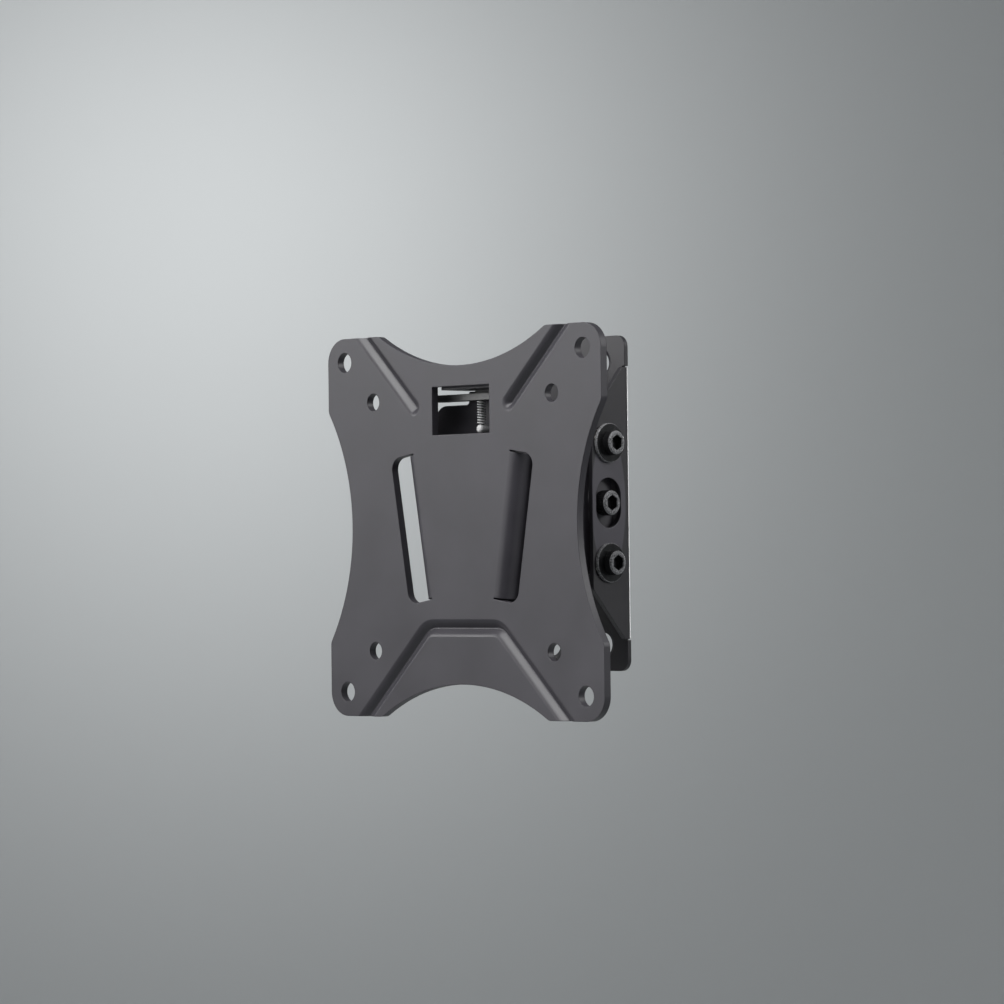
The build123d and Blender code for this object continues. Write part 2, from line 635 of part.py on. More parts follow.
def main():
    nodes = {
        "wall_plate": wall_plate(),
        "tilt_yoke": tilt_yoke(),
        "cross_rod": cross_rod(),
        "v_receiver": v_receiver(),
        "vesa_plate": vesa_plate(),
        "lock_bar": lock_bar(),
        "lock_guide_rod": lock_guide_rod(),
        "lock_clip": lock_clip(),
        "lock_spring": lock_spring(),
        "spring_pin": spring_pin(),
    }
    for side_name, side in SIDES.items():
        nodes[f"middle_bolt_{side_name}"] = middle_bolt(side)
        for row_name, row in ROWS.items():
            place = f"{row_name}_{side_name}"
            nodes[f"clamp_bolt_{place}"] = clamp_bolt(side, row)
            nodes[f"clamp_washer_{place}"] = clamp_washer(side, row)
            nodes[f"friction_washer_{place}"] = friction_washer(side, row)
            nodes[f"lock_nut_{place}"] = lock_nut(side, row)
            nodes[f"receiver_rivet_{place}"] = receiver_rivet(side, row)
    os.makedirs("parts", exist_ok=True)
    for name, shape in nodes.items():
        export_step(shape, f"parts/{name}.step")


main()
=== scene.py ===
from math import cos, pi, radians, sin

import bmesh
import bpy
from bpy.props import FloatProperty, FloatVectorProperty, IntProperty, PointerProperty
from mathutils import Matrix, Vector


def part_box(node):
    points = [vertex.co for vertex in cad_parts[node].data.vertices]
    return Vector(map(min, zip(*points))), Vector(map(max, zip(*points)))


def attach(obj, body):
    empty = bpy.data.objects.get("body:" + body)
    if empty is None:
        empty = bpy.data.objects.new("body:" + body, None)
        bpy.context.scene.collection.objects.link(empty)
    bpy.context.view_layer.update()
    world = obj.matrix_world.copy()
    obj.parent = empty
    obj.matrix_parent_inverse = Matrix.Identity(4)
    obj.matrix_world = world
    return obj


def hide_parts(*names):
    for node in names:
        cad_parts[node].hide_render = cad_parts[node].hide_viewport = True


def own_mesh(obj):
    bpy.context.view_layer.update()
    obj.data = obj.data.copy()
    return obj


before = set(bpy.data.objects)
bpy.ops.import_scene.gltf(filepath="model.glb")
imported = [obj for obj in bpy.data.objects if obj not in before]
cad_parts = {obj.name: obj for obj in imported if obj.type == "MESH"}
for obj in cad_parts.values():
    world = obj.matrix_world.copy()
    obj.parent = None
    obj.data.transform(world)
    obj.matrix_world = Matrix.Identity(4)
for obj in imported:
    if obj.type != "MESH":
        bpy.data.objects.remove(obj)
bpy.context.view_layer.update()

bl_info = {
    "name": "Tilting Screen Bracket",
    "version": (1, 0, 0),
    "blender": (4, 5, 0),
    "location": "View3D > Sidebar > Bracket",
    "description": "Finishes, screws, spring and studio for a tilting wall bracket",
    "category": "Object",
}

MM = 0.001
SIDES = ("left", "right")
ROWS = ("lower", "upper")
PLACES = [f"{row}_{side}" for row in ROWS for side in SIDES]


def extent(node):
    """Size of a CAD node along X, Y and Z."""
    low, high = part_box(node)
    return high - low


def middle(node):
    low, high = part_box(node)
    return (low + high) / 2


def flank(node):
    """Side of the bracket that a CAD node lies on: 1 for right, -1 for left."""
    return 1 if middle(node).x > 0 else -1


# Settings that a user would change

class CoatSettings(bpy.types.PropertyGroup):
    colour: FloatVectorProperty(
        name="Coat colour", description="Colour of the powder coat on the pressed plates",
        subtype="COLOR", size=3, min=0, max=1, default=(0.041, 0.0385, 0.046),
    )
    roughness: FloatProperty(
        name="Coat roughness", description="How matt the powder coat is",
        subtype="FACTOR", min=0, max=1, default=0.4,
    )
    grain: FloatProperty(
        name="Grain", description="Width of one grain of the powder coat's texture",
        unit="LENGTH", min=0.05 * MM, default=0.35 * MM,
    )
    edge: FloatProperty(
        name="Edge radius", description="Rounding that the coat gives to sheared edges",
        unit="LENGTH", min=0, default=0.3 * MM,
    )


class ScrewSettings(bpy.types.PropertyGroup):
    shank: FloatProperty(
        name="Thread diameter", description="Outside diameter of the screw threads",
        unit="LENGTH", default=4 * MM,
    )
    pitch: FloatProperty(
        name="Thread pitch", description="Rise of one turn of the thread",
        unit="LENGTH", default=0.7 * MM,
    )
    clamp_head_height: FloatProperty(
        name="Clamp head height", description="Height of the low heads above their washers",
        unit="LENGTH", default=2.8 * MM,
    )
    middle_head_height: FloatProperty(
        name="Middle head height", description="Height of the heads of the middle screws",
        unit="LENGTH", default=4.2 * MM,
    )
    socket: FloatProperty(
        name="Socket width", description="Width of the hexagon socket across its flats",
        unit="LENGTH", default=4.3 * MM,
    )
    socket_depth: FloatProperty(
        name="Socket depth", description="Depth of the hexagon socket",
        unit="LENGTH", default=2.1 * MM,
    )
    ridges: IntProperty(
        name="Ridges", description="Number of knurled ridges round a head", min=8, default=32,
    )
    ridge_depth: FloatProperty(
        name="Ridge depth", description="Depth of the knurled ridges",
        unit="LENGTH", default=0.16 * MM,
    )
    edge: FloatProperty(
        name="Head edge", description="Height of the bevel round the top of a head",
        unit="LENGTH", default=0.45 * MM,
    )


class SpringSettings(bpy.types.PropertyGroup):
    turns: FloatProperty(
        name="Turns", description="Number of turns of the lock's coil spring", min=2, default=8.5,
    )
    wire: FloatProperty(
        name="Wire diameter", description="Diameter of the spring's wire",
        unit="LENGTH", default=0.4 * MM,
    )


class StageSettings(bpy.types.PropertyGroup):
    floor_colour: FloatVectorProperty(
        name="Floor colour", description="Colour of the pale floor and its curved rim",
        subtype="COLOR", size=3, min=0, max=1, default=(0.60, 0.62, 0.625),
    )
    floor_drop: FloatProperty(
        name="Floor drop", description="Height of the bracket's middle above the floor",
        unit="LENGTH", default=0.9,
    )
    sky_strength: FloatProperty(
        name="Sky strength", description="Strength of the even light from above", min=0, default=0.2,
    )
    camera_place: FloatVectorProperty(
        name="Camera place", description="Where the camera stands, from the middle of the front plate's face",
        subtype="XYZ", unit="LENGTH", size=3, default=(0.84103, -0.82944, -0.01388),
    )
    camera_target: FloatVectorProperty(
        name="Camera target", description="Point looked at, from the middle of the front plate's face",
        subtype="XYZ", unit="LENGTH", size=3, default=(0.00852, 0.00842, 0.00657),
    )
    camera_roll: FloatProperty(
        name="Camera roll", description="Turn of the camera about its line of sight, clockwise",
        subtype="ANGLE", default=radians(0.657),
    )
    focal_length: FloatProperty(
        name="Focal length", description="Lens of the camera",
        subtype="DISTANCE_CAMERA", default=143.4,
    )


class BracketSettings(bpy.types.PropertyGroup):
    coat: PointerProperty(type=CoatSettings)
    screws: PointerProperty(type=ScrewSettings)
    spring: PointerProperty(type=SpringSettings)
    stage: PointerProperty(type=StageSettings)


# Materials

# Places of the colour sockets on a Mix node, whose names are shared by its other kinds
MIX_COLOURS, MIX_RESULT = (6, 7), 2


class Shader:
    """A new material's node tree, with short ways to add nodes and links."""

    def __init__(self, name):
        self.material = bpy.data.materials.new(name)
        self.material.use_nodes = True
        self.tree = self.material.node_tree
        self.surface = self.tree.nodes["Principled BSDF"]
        self.place = self.add("ShaderNodeTexCoord").outputs["Object"]

    def add(self, kind, **settings):
        node = self.tree.nodes.new(kind)
        for name, value in settings.items():
            setattr(node, name, value)
        return node

    def link(self, source, target):
        self.tree.links.new(source, target)

    def noise(self, width, detail=2.0, stretch=(1, 1, 1)):
        """Noise whose lumps are about `width` metres wide."""
        mapping = self.add("ShaderNodeMapping")
        mapping.inputs["Scale"].default_value = stretch
        self.link(self.place, mapping.inputs["Vector"])
        node = self.add("ShaderNodeTexNoise")
        node.inputs["Scale"].default_value = 1 / width
        node.inputs["Detail"].default_value = detail
        self.link(mapping.outputs["Vector"], node.inputs["Vector"])
        return node.outputs["Fac"]

    def remap(self, value, from_low, from_high, to_low, to_high):
        node = self.add("ShaderNodeMapRange")
        numbers = (from_low, from_high, to_low, to_high)
        for socket, number in zip(("From Min", "From Max", "To Min", "To Max"), numbers):
            node.inputs[socket].default_value = number
        self.link(value, node.inputs["Value"])
        return node.outputs["Result"]

    def math(self, kind, first, second=0.0):
        """A Math node on sockets or numbers."""
        node = self.add("ShaderNodeMath", operation=kind)
        for socket, value in zip(node.inputs, (first, second)):
            if isinstance(value, (int, float)):
                socket.default_value = value
            else:
                self.link(value, socket)
        return node.outputs["Value"]

    def axes(self):
        """The three object coordinates as sockets X, Y and Z."""
        node = self.add("ShaderNodeSeparateXYZ")
        self.link(self.place, node.inputs["Vector"])
        return node.outputs

    def squares(self, first, second):
        """Sum of two squares."""
        return self.math("ADD", self.math("MULTIPLY", first, first), self.math("MULTIPLY", second, second))

    def blend(self, amount, first, second):
        """Mix of two colours, each a socket or three numbers."""
        node = self.add("ShaderNodeMix", data_type="RGBA")
        self.link(amount, node.inputs["Factor"])
        for place, value in zip(MIX_COLOURS, (first, second)):
            socket = node.inputs[place]
            if isinstance(value, bpy.types.NodeSocket):
                self.link(value, socket)
            else:
                socket.default_value = (*value, 1)
        return node.outputs[MIX_RESULT]

    def relief(self, height, depth, strength, edge=0.0):
        """Bump of `depth` metres on the surface, over edges rounded by `edge` metres."""
        bump = self.add("ShaderNodeBump")
        bump.inputs["Strength"].default_value = strength
        bump.inputs["Distance"].default_value = depth
        self.link(height, bump.inputs["Height"])
        if edge > 0:
            rounding = self.add("ShaderNodeBevel", samples=6)
            rounding.inputs["Radius"].default_value = edge
            self.link(rounding.outputs["Normal"], bump.inputs["Normal"])
        self.link(bump.outputs["Normal"], self.surface.inputs["Normal"])

    def constant(self, values):
        """Set sockets of the surface shader that are the same all over."""
        for name, value in values.items():
            self.surface.inputs[name].default_value = value


# The noise of a Noise Texture lies mostly between these two values.
NOISE_LOW, NOISE_HIGH = 0.3, 0.7

CLOUD_WIDTH = 18 * MM
CLOUD_DARK, CLOUD_PALE = 0.86, 1.12
# Painted shade: the wall plate has the same paint as the front plate, drawn darker by this factor
WALL_PAINTED_SHADE = 0.5
# Painted sheen: an oval on the outside of the wall flanges, round the tilt screws, drawn paler and glossier
# than the coat
OVAL_SHEEN_TONE, OVAL_POLISH = 1.9, 0.06
OVAL_HALF_WIDTH, OVAL_HALF_HEIGHT = 7.4 * MM, 21 * MM
OVAL_FADE_START, OVAL_FADE_END = 0.92, 1.06
OUTER_SKIN = 0.2 * MM


def powder_coat(name, coat, shade=1.0, with_painted_sheen=False):
    """Satin powder coat with a fine grain; a `shade` below 1 darkens the whole coat as painted shade, and the
    flag after it adds a painted sheen, a paler, glossier oval beside the tilt screws.
    """
    shader = Shader(name)
    # A shade below 1 is painted shade, darkening the whole coat
    dark = tuple(CLOUD_DARK * shade * c for c in coat.colour)
    pale = tuple(CLOUD_PALE * shade * c for c in coat.colour)
    clouds = shader.noise(CLOUD_WIDTH, detail=3)
    colour = shader.blend(shader.remap(clouds, NOISE_LOW, NOISE_HIGH, 0, 1), dark, pale)
    rough = shader.remap(clouds, NOISE_LOW, NOISE_HIGH, coat.roughness - 0.03, coat.roughness + 0.04)
    # Painted sheen on the oval beside the tilt screws
    if with_painted_sheen:
        oval = painted_sheen_oval(shader)
        colour = shader.blend(oval, colour, tuple(OVAL_SHEEN_TONE * c for c in coat.colour))
        rough = shader.math("SUBTRACT", rough, shader.remap(oval, 0, 1, 0, OVAL_POLISH))
    shader.link(colour, shader.surface.inputs["Base Color"])
    shader.link(rough, shader.surface.inputs["Roughness"])
    grain = shader.noise(coat.grain, detail=3)
    shader.relief(grain, depth=0.03 * MM, strength=0.35, edge=coat.edge)
    return shader.material


def painted_sheen_oval(shader):
    """Mask, 0 to 1, of a long oval round the tilt screws on the outside of the wall flanges, where the sheen
    is painted.
    """
    axis = middle("clamp_washer_upper_right")
    axes = shader.axes()
    across = shader.math("DIVIDE", shader.math("SUBTRACT", axes["Y"], axis.y), OVAL_HALF_WIDTH)
    along = shader.math("DIVIDE", axes["Z"], OVAL_HALF_HEIGHT)
    inside = shader.remap(shader.squares(across, along), OVAL_FADE_START, OVAL_FADE_END, 1, 0)
    outward = shader.math("ABSOLUTE", axes["X"])
    outside = shader.math("GREATER_THAN", outward, extent("wall_plate").x / 2 - OUTER_SKIN)
    return shader.math("MULTIPLY", inside, outside)


WASHER_WEAR = 0.2 * MM
SPECK_WIDTH, SPECK_LOW, SPECK_HIGH = 0.4 * MM, 0.25, 0.7
WORN_STEEL = (0.34, 0.34, 0.35)


def black_oxide(name, worn_part):
    """Glossy black steel; `worn_part` makes the mask of what is rubbed bright in specks."""
    shader = Shader(name)
    smudge = shader.noise(1.5 * MM, detail=3)
    colour = shader.blend(smudge, (0.006, 0.006, 0.007), (0.018, 0.018, 0.019))
    specks = shader.remap(shader.noise(SPECK_WIDTH), SPECK_LOW, SPECK_HIGH, 0, 1)
    colour = shader.blend(shader.math("MULTIPLY", specks, worn_part(shader)), colour, WORN_STEEL)
    shader.link(colour, shader.surface.inputs["Base Color"])
    shader.link(shader.remap(smudge, NOISE_LOW, NOISE_HIGH, 0.16, 0.28), shader.surface.inputs["Roughness"])
    shader.constant({"Specular IOR Level": 0.4})
    shader.relief(shader.noise(0.25 * MM), depth=0.01 * MM, strength=0.3, edge=0.12 * MM)
    return shader.material


def head_tops(node, depth):
    """Mask of the outermost `depth` of screws like this node, at both flanks."""
    top = max(abs(corner.x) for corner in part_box(node))

    def mask(shader):
        return shader.math("GREATER_THAN", shader.math("ABSOLUTE", shader.axes()["X"]), top - depth)

    return mask


def ring_edges(node, width):
    """Mask of the outer `width` of rings like this node, above and below the tilt axis."""
    centre, radius = middle(node), extent(node).z / 2

    def mask(shader):
        axes = shader.axes()
        across = shader.math("SUBTRACT", axes["Y"], centre.y)
        along = shader.math("SUBTRACT", shader.math("ABSOLUTE", axes["Z"]), abs(centre.z))
        return shader.math("GREATER_THAN", shader.squares(across, along), (radius - width) ** 2)

    return mask


def zinc_plating(name, dark, pale, roughness, metallic=1.0):
    """Zinc on rolled steel, with fine streaks along X between a dark and a pale grey."""
    shader = Shader(name)
    streaks = shader.noise(0.5 * MM, detail=4, stretch=(0.08, 1, 1))
    shader.link(shader.blend(streaks, (dark,) * 3, (pale,) * 3), shader.surface.inputs["Base Color"])
    uneven = shader.remap(streaks, NOISE_LOW, NOISE_HIGH, roughness - 0.08, roughness + 0.08)
    shader.link(uneven, shader.surface.inputs["Roughness"])
    shader.constant({"Metallic": metallic})
    shader.relief(streaks, depth=0.008 * MM, strength=0.25, edge=0.1 * MM)
    return shader.material


def bright_zinc():
    return zinc_plating("bright_zinc", dark=0.58, pale=0.86, roughness=0.28)


# Darker zinc: partly the parts' own dull tone and partly painted shade, since the lock parts lie in shade
# behind the front plate and inside the coil
def dark_zinc_and_painted_shade():
    return zinc_plating("dark_zinc_and_painted_shade", dark=0.06, pale=0.22, roughness=0.5)


def matt_zinc():
    return zinc_plating("matt_zinc", dark=0.5, pale=0.8, roughness=0.6, metallic=0.2)


def natural_nylon():
    shader = Shader("natural_nylon")
    cloud = shader.noise(2 * MM)
    shader.link(shader.blend(cloud, (0.62, 0.60, 0.53), (0.76, 0.74, 0.68)),
                shader.surface.inputs["Base Color"])
    shader.constant({"Roughness": 0.5})
    shader.relief(shader.noise(0.3 * MM), depth=0.01 * MM, strength=0.2, edge=0.1 * MM)
    return shader.material


def finish_named(name, make):
    """The material of that name, made on its first use."""
    return bpy.data.materials.get(name) or make()


def dress(node, material):
    """Give a CAD node its material."""
    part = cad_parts[node]
    part.data.materials.clear()
    part.data.materials.append(material)


# Geometry Nodes

class Tree:
    """A new geometry node group, with named inputs and short ways to add nodes and links."""

    def __init__(self, name, sizes):
        self.group = bpy.data.node_groups.new(name, "GeometryNodeTree")
        self.group.interface.new_socket("Geometry", in_out="INPUT", socket_type="NodeSocketGeometry")
        for size, kind in sizes.items():
            self.group.interface.new_socket(size, in_out="INPUT", socket_type=kind)
        self.group.interface.new_socket("Material", in_out="INPUT", socket_type="NodeSocketMaterial")
        self.group.interface.new_socket("Geometry", in_out="OUTPUT", socket_type="NodeSocketGeometry")
        self.given = self.group.nodes.new("NodeGroupInput").outputs
        self.result = self.group.nodes.new("NodeGroupOutput").inputs["Geometry"]

    def add(self, kind, inputs=None, **settings):
        """A node with its settings, and its inputs as sockets or values by name or place."""
        node = self.group.nodes.new(kind)
        for name, value in settings.items():
            setattr(node, name, value)
        for socket, value in (inputs or {}).items():
            self.feed(node.inputs[socket], value)
        return node

    def feed(self, socket, value):
        if isinstance(value, bpy.types.NodeSocket):
            self.group.links.new(value, socket)
        else:
            socket.default_value = value

    def math(self, kind, first, second=0.0):
        return self.add("ShaderNodeMath", {0: first, 1: second}, operation=kind).outputs["Value"]

    def height(self, z):
        """Point on the Z axis."""
        return self.add("ShaderNodeCombineXYZ", {"Z": z}).outputs["Vector"]

    def circle(self, radius, points):
        inputs = {"Resolution": points, "Radius": radius}
        return self.add("GeometryNodeCurvePrimitiveCircle", inputs).outputs["Curve"]

    def prism(self, outline, bottom, top):
        """Closed prism of a flat outline between two heights on the Z axis."""
        line = self.add("GeometryNodeCurvePrimitiveLine",
                        {"Start": self.height(bottom), "End": self.height(top)}).outputs["Curve"]
        inputs = {"Curve": line, "Profile Curve": outline, "Fill Caps": True}
        return self.add("GeometryNodeCurveToMesh", inputs).outputs["Mesh"]

    def frustum(self, low_radius, high_radius, bottom, top, points):
        inputs = {"Vertices": points, "Radius Top": high_radius, "Radius Bottom": low_radius,
                  "Depth": self.math("SUBTRACT", top, bottom)}
        mesh = self.add("GeometryNodeMeshCone", inputs).outputs["Mesh"]
        inputs = {"Geometry": mesh, "Translation": self.height(bottom)}
        return self.add("GeometryNodeTransform", inputs).outputs["Geometry"]

    def combine(self, kind, *meshes):
        node = self.add("GeometryNodeMeshBoolean", operation=kind, solver="EXACT")
        first, *rest = meshes
        if kind == "DIFFERENCE":
            self.group.links.new(first, node.inputs["Mesh 1"])
        else:
            rest = meshes
        for mesh in rest:
            self.group.links.new(mesh, node.inputs["Mesh 2"])
        return node.outputs["Mesh"]

    def join(self, *parts):
        node = self.add("GeometryNodeJoinGeometry")
        for part in parts:
            self.group.links.new(part, node.inputs["Geometry"])
        return node.outputs["Geometry"]

    def at_seats(self, part):
        """One copy of a part, drawn along Z, at each given point and along the point's axis."""
        axis = self.add("GeometryNodeInputNamedAttribute", {"Name": "axis"}, data_type="FLOAT_VECTOR")
        turn = self.add("FunctionNodeAlignRotationToVector", {"Vector": axis.outputs["Attribute"]}, axis="Z")
        inputs = {"Points": self.given["Geometry"], "Instance": part, "Rotation": turn.outputs["Rotation"]}
        return self.add("GeometryNodeInstanceOnPoints", inputs).outputs["Instances"]

    def finish(self, part):
        solid = self.add("GeometryNodeRealizeInstances", {"Geometry": part}).outputs["Geometry"]
        inputs = {"Geometry": solid, "Material": self.given["Material"]}
        self.group.links.new(self.add("GeometryNodeSetMaterial", inputs).outputs["Geometry"], self.result)
        return self.group


LENGTH, COUNT = "NodeSocketFloat", "NodeSocketInt"

# Edges that turn by less than this, in degrees, are shaded smooth
SMOOTH_ANGLE, WIRE_SMOOTH_ANGLE = 35, 60

# Shares of the head's edge, the head's height, the thread's pitch and the shank's length
FOOT_SHARE = 0.6
CORE_SHARE = 0.5
THREAD_RIDGE_SHARE = 0.3
THREADED_SHARE, THREAD_START_SHARE = 0.9, 0.96

# Points of each round outline
HEXAGON_SIDES = 6
HEAD_POINTS, SHANK_POINTS, THREAD_POINTS = 64, 32, 4
THREAD_POINTS_PER_TURN = 28

# How far the crown's foot is wider than the knurl's root, so that their faces don't coincide
CROWN_OVERLAP = 0.00045 * MM


def screw_tree():
    """Socket-head screw: knurled head with a bevelled top and a hexagon socket, and a threaded shank."""
    tree = Tree("socket_screw", {
        "Head Diameter": LENGTH, "Head Height": LENGTH, "Head Edge": LENGTH, "Ridges": COUNT,
        "Ridge Depth": LENGTH, "Socket Width": LENGTH, "Socket Depth": LENGTH,
        "Shank Diameter": LENGTH, "Shank Length": LENGTH, "Thread Pitch": LENGTH,
    })
    size = tree.given
    crest = tree.math("DIVIDE", size["Head Diameter"], 2.0)
    root = tree.math("SUBTRACT", crest, size["Ridge Depth"])
    top = size["Head Height"]
    shoulder = tree.math("SUBTRACT", top, size["Head Edge"])
    foot = tree.math("MULTIPLY", size["Head Edge"], FOOT_SHARE)
    inside = tree.math("MULTIPLY", top, CORE_SHARE)
    star = tree.add("GeometryNodeCurveStar", {
        "Points": size["Ridges"], "Inner Radius": root, "Outer Radius": crest,
    }).outputs["Curve"]
    knurl = tree.prism(star, foot, shoulder)
    rim = tree.math("SUBTRACT", root, size["Head Edge"])
    wide = tree.math("ADD", root, CROWN_OVERLAP)
    crown = tree.frustum(wide, rim, shoulder, top, HEAD_POINTS)
    under = tree.frustum(root, root, 0.0, inside, HEAD_POINTS)
    head = tree.combine("UNION", knurl, crown, under)
    corner = tree.math("DIVIDE", size["Socket Width"], 2 * cos(pi / HEXAGON_SIDES))
    deep = tree.math("SUBTRACT", top, size["Socket Depth"])
    above = tree.math("ADD", top, size["Head Edge"])
    head = tree.combine("DIFFERENCE", head, tree.prism(tree.circle(corner, HEXAGON_SIDES), deep, above))
    ridge_radius = tree.math("MULTIPLY", size["Thread Pitch"], THREAD_RIDGE_SHARE)
    core = tree.math("SUBTRACT", tree.math("DIVIDE", size["Shank Diameter"], 2.0), ridge_radius)
    tip = tree.math("MULTIPLY", size["Shank Length"], -1.0)
    shank = tree.prism(tree.circle(core, SHANK_POINTS), tip, 0.0)
    threaded = tree.math("MULTIPLY", size["Shank Length"], THREADED_SHARE)
    helix = tree.add("GeometryNodeCurveSpiral", {
        "Resolution": THREAD_POINTS_PER_TURN, "Start Radius": core, "End Radius": core,
        "Rotations": tree.math("DIVIDE", threaded, size["Thread Pitch"]), "Height": threaded,
    }).outputs["Curve"]
    ridge = tree.circle(ridge_radius, THREAD_POINTS)
    inputs = {"Curve": helix, "Profile Curve": ridge, "Fill Caps": True}
    thread = tree.add("GeometryNodeCurveToMesh", inputs).outputs["Mesh"]
    inputs = {"Geometry": thread, "Translation": tree.height(tree.math("MULTIPLY", tip, THREAD_START_SHARE))}
    thread = tree.add("GeometryNodeTransform", inputs).outputs["Geometry"]
    return tree.finish(tree.at_seats(tree.join(head, shank, thread)))


RING_POINTS = 48


def ring_tree():
    """Flat ring, standing on its seat."""
    tree = Tree("flat_ring", {"Outside Diameter": LENGTH, "Bore": LENGTH, "Thickness": LENGTH})
    size = tree.given
    outer = tree.math("DIVIDE", size["Outside Diameter"], 2.0)
    inner = tree.math("DIVIDE", size["Bore"], 2.0)
    below = tree.math("MULTIPLY", size["Thickness"], -1.0)
    above = tree.math("MULTIPLY", size["Thickness"], 2.0)
    blank = tree.frustum(outer, outer, 0.0, size["Thickness"], RING_POINTS)
    bore = tree.frustum(inner, inner, below, above, RING_POINTS)
    return tree.finish(tree.at_seats(tree.combine("DIFFERENCE", blank, bore)))


COIL_POINTS_PER_TURN, WIRE_POINTS = 40, 12


def spring_tree():
    """Round wire wound into a cylinder about each seat's axis."""
    tree = Tree("coil_spring", {
        "Coil Diameter": LENGTH, "Wire Diameter": LENGTH, "Height": LENGTH, "Turns": LENGTH,
    })
    size = tree.given
    radius = tree.math("DIVIDE", size["Coil Diameter"], 2.0)
    coil = tree.add("GeometryNodeCurveSpiral", {
        "Resolution": COIL_POINTS_PER_TURN, "Rotations": size["Turns"], "Start Radius": radius,
        "End Radius": radius, "Height": size["Height"],
    }).outputs["Curve"]
    wire = tree.circle(tree.math("DIVIDE", size["Wire Diameter"], 2.0), WIRE_POINTS)
    inputs = {"Curve": coil, "Profile Curve": wire, "Fill Caps": True}
    return tree.finish(tree.at_seats(tree.add("GeometryNodeCurveToMesh", inputs).outputs["Mesh"]))


def grow(name, tree, seats, sizes, material, body, smooth_angle):
    """Plain mesh that a tree makes at seats, each a point and an axis, riding on a body."""
    mesh = bpy.data.meshes.new(name + "_seats")
    mesh.from_pydata([place for place, axis in seats], [], [])
    axes = mesh.attributes.new("axis", "FLOAT_VECTOR", "POINT")
    axes.data.foreach_set("vector", [x for place, axis in seats for x in axis])
    piece = bpy.data.objects.new(name, mesh)
    bpy.context.scene.collection.objects.link(piece)
    modifier = piece.modifiers.new(name, "NODES")
    modifier.node_group = tree
    values = {**sizes, "Material": material}
    for item in tree.interface.items_tree:
        if item.in_out == "INPUT" and item.name in values:
            modifier[item.identifier] = values[item.name]
    evaluated = piece.evaluated_get(bpy.context.evaluated_depsgraph_get())
    grown = bpy.data.meshes.new_from_object(evaluated)
    if not grown.polygons:
        raise RuntimeError(f"{name}: the node tree made no faces")
    piece.modifiers.clear()
    piece.data = grown
    bpy.data.meshes.remove(mesh)
    weld(grown)
    grown.shade_smooth()
    grown.set_sharp_from_angle(angle=radians(smooth_angle))
    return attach(piece, body)


WELD_DISTANCE = 0.002 * MM


def weld(mesh):
    """Merge doubled points and turn the faces outwards."""
    shell = bmesh.new()
    shell.from_mesh(mesh)
    bmesh.ops.remove_doubles(shell, verts=shell.verts, dist=WELD_DISTANCE)
    bmesh.ops.recalc_face_normals(shell, faces=shell.faces)
    shell.to_mesh(mesh)
    shell.free()


def screw_seats(nodes, head_height):
    """Point under the head and outward axis of each screw, from its CAD node."""
    seats = []
    for node in nodes:
        low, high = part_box(node)
        centre, side = middle(node), flank(node)
        outer = high.x if side > 0 else low.x
        seats.append(((outer - side * head_height, centre.y, centre.z), (side, 0, 0)))
    return seats


def socket_screws(name, nodes, head_height):
    """Detailed screws in place of plain CAD ones."""
    screws = bpy.context.scene.bracket.screws
    tree = bpy.data.node_groups.get("socket_screw") or screw_tree()
    sizes = {
        "Head Diameter": extent(nodes[0]).y, "Head Height": head_height, "Head Edge": screws.edge,
        "Ridges": screws.ridges, "Ridge Depth": screws.ridge_depth,
        "Socket Width": screws.socket, "Socket Depth": screws.socket_depth,
        "Shank Diameter": screws.shank, "Shank Length": extent(nodes[0]).x - head_height,
        "Thread Pitch": screws.pitch,
    }
    steel = black_oxide(name + "_oxide", head_tops(nodes[0], screws.edge))
    piece = grow(name, tree, screw_seats(nodes, head_height), sizes, steel, "head", SMOOTH_ANGLE)
    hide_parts(*nodes)


# Operators

class BRACKET_OT_pressed_plates(bpy.types.Operator):
    """Powder coat on the wall plate, tilt yoke, receiver and front plate"""

    bl_idname = "bracket.pressed_plates"
    bl_label = "Pressed Plates"

    def execute(self, context):
        coat = context.scene.bracket.coat
        # The wall plate's coat is drawn darker as painted shade, and its flanges carry the painted sheen oval
        with_painted_sheen = powder_coat("painted_shade_and_sheen_coat", coat, shade=WALL_PAINTED_SHADE, with_painted_sheen=True)
        plain = powder_coat("powder_coat", coat)
        dress("wall_plate", with_painted_sheen)
        for node in ("tilt_yoke", "v_receiver", "vesa_plate"):
            dress(node, plain)
        return {"FINISHED"}


class BRACKET_OT_clamp_screws(bpy.types.Operator):
    """Four low socket-head screws that clamp the tilt"""

    bl_idname = "bracket.clamp_screws"
    bl_label = "Clamp Screws"

    def execute(self, context):
        nodes = [f"clamp_bolt_{place}" for place in PLACES]
        socket_screws("clamp_screws", nodes, context.scene.bracket.screws.clamp_head_height)
        return {"FINISHED"}


class BRACKET_OT_middle_screws(bpy.types.Operator):
    """Two socket-head screws in the oblong openings"""

    bl_idname = "bracket.middle_screws"
    bl_label = "Middle Screws"

    def execute(self, context):
        nodes = [f"middle_bolt_{side}" for side in SIDES]
        socket_screws("middle_screws", nodes, context.scene.bracket.screws.middle_head_height)
        return {"FINISHED"}


class BRACKET_OT_washers(bpy.types.Operator):
    """Steel washers under the clamp screws and nylon friction washers inside the flanges"""

    bl_idname = "bracket.washers"
    bl_label = "Washers"

    def execute(self, context):
        edges = ring_edges("clamp_washer_upper_right", WASHER_WEAR)
        steel = black_oxide("washer_oxide", edges)
        nylon = finish_named("natural_nylon", natural_nylon)
        for place in PLACES:
            dress(f"clamp_washer_{place}", steel)
            dress(f"friction_washer_{place}", nylon)
        return {"FINISHED"}


RING_SIZES = {"Outside Diameter": 5.0 * MM, "Bore": 4.2 * MM, "Thickness": 0.25 * MM}
RING_SINK = 0.1 * MM


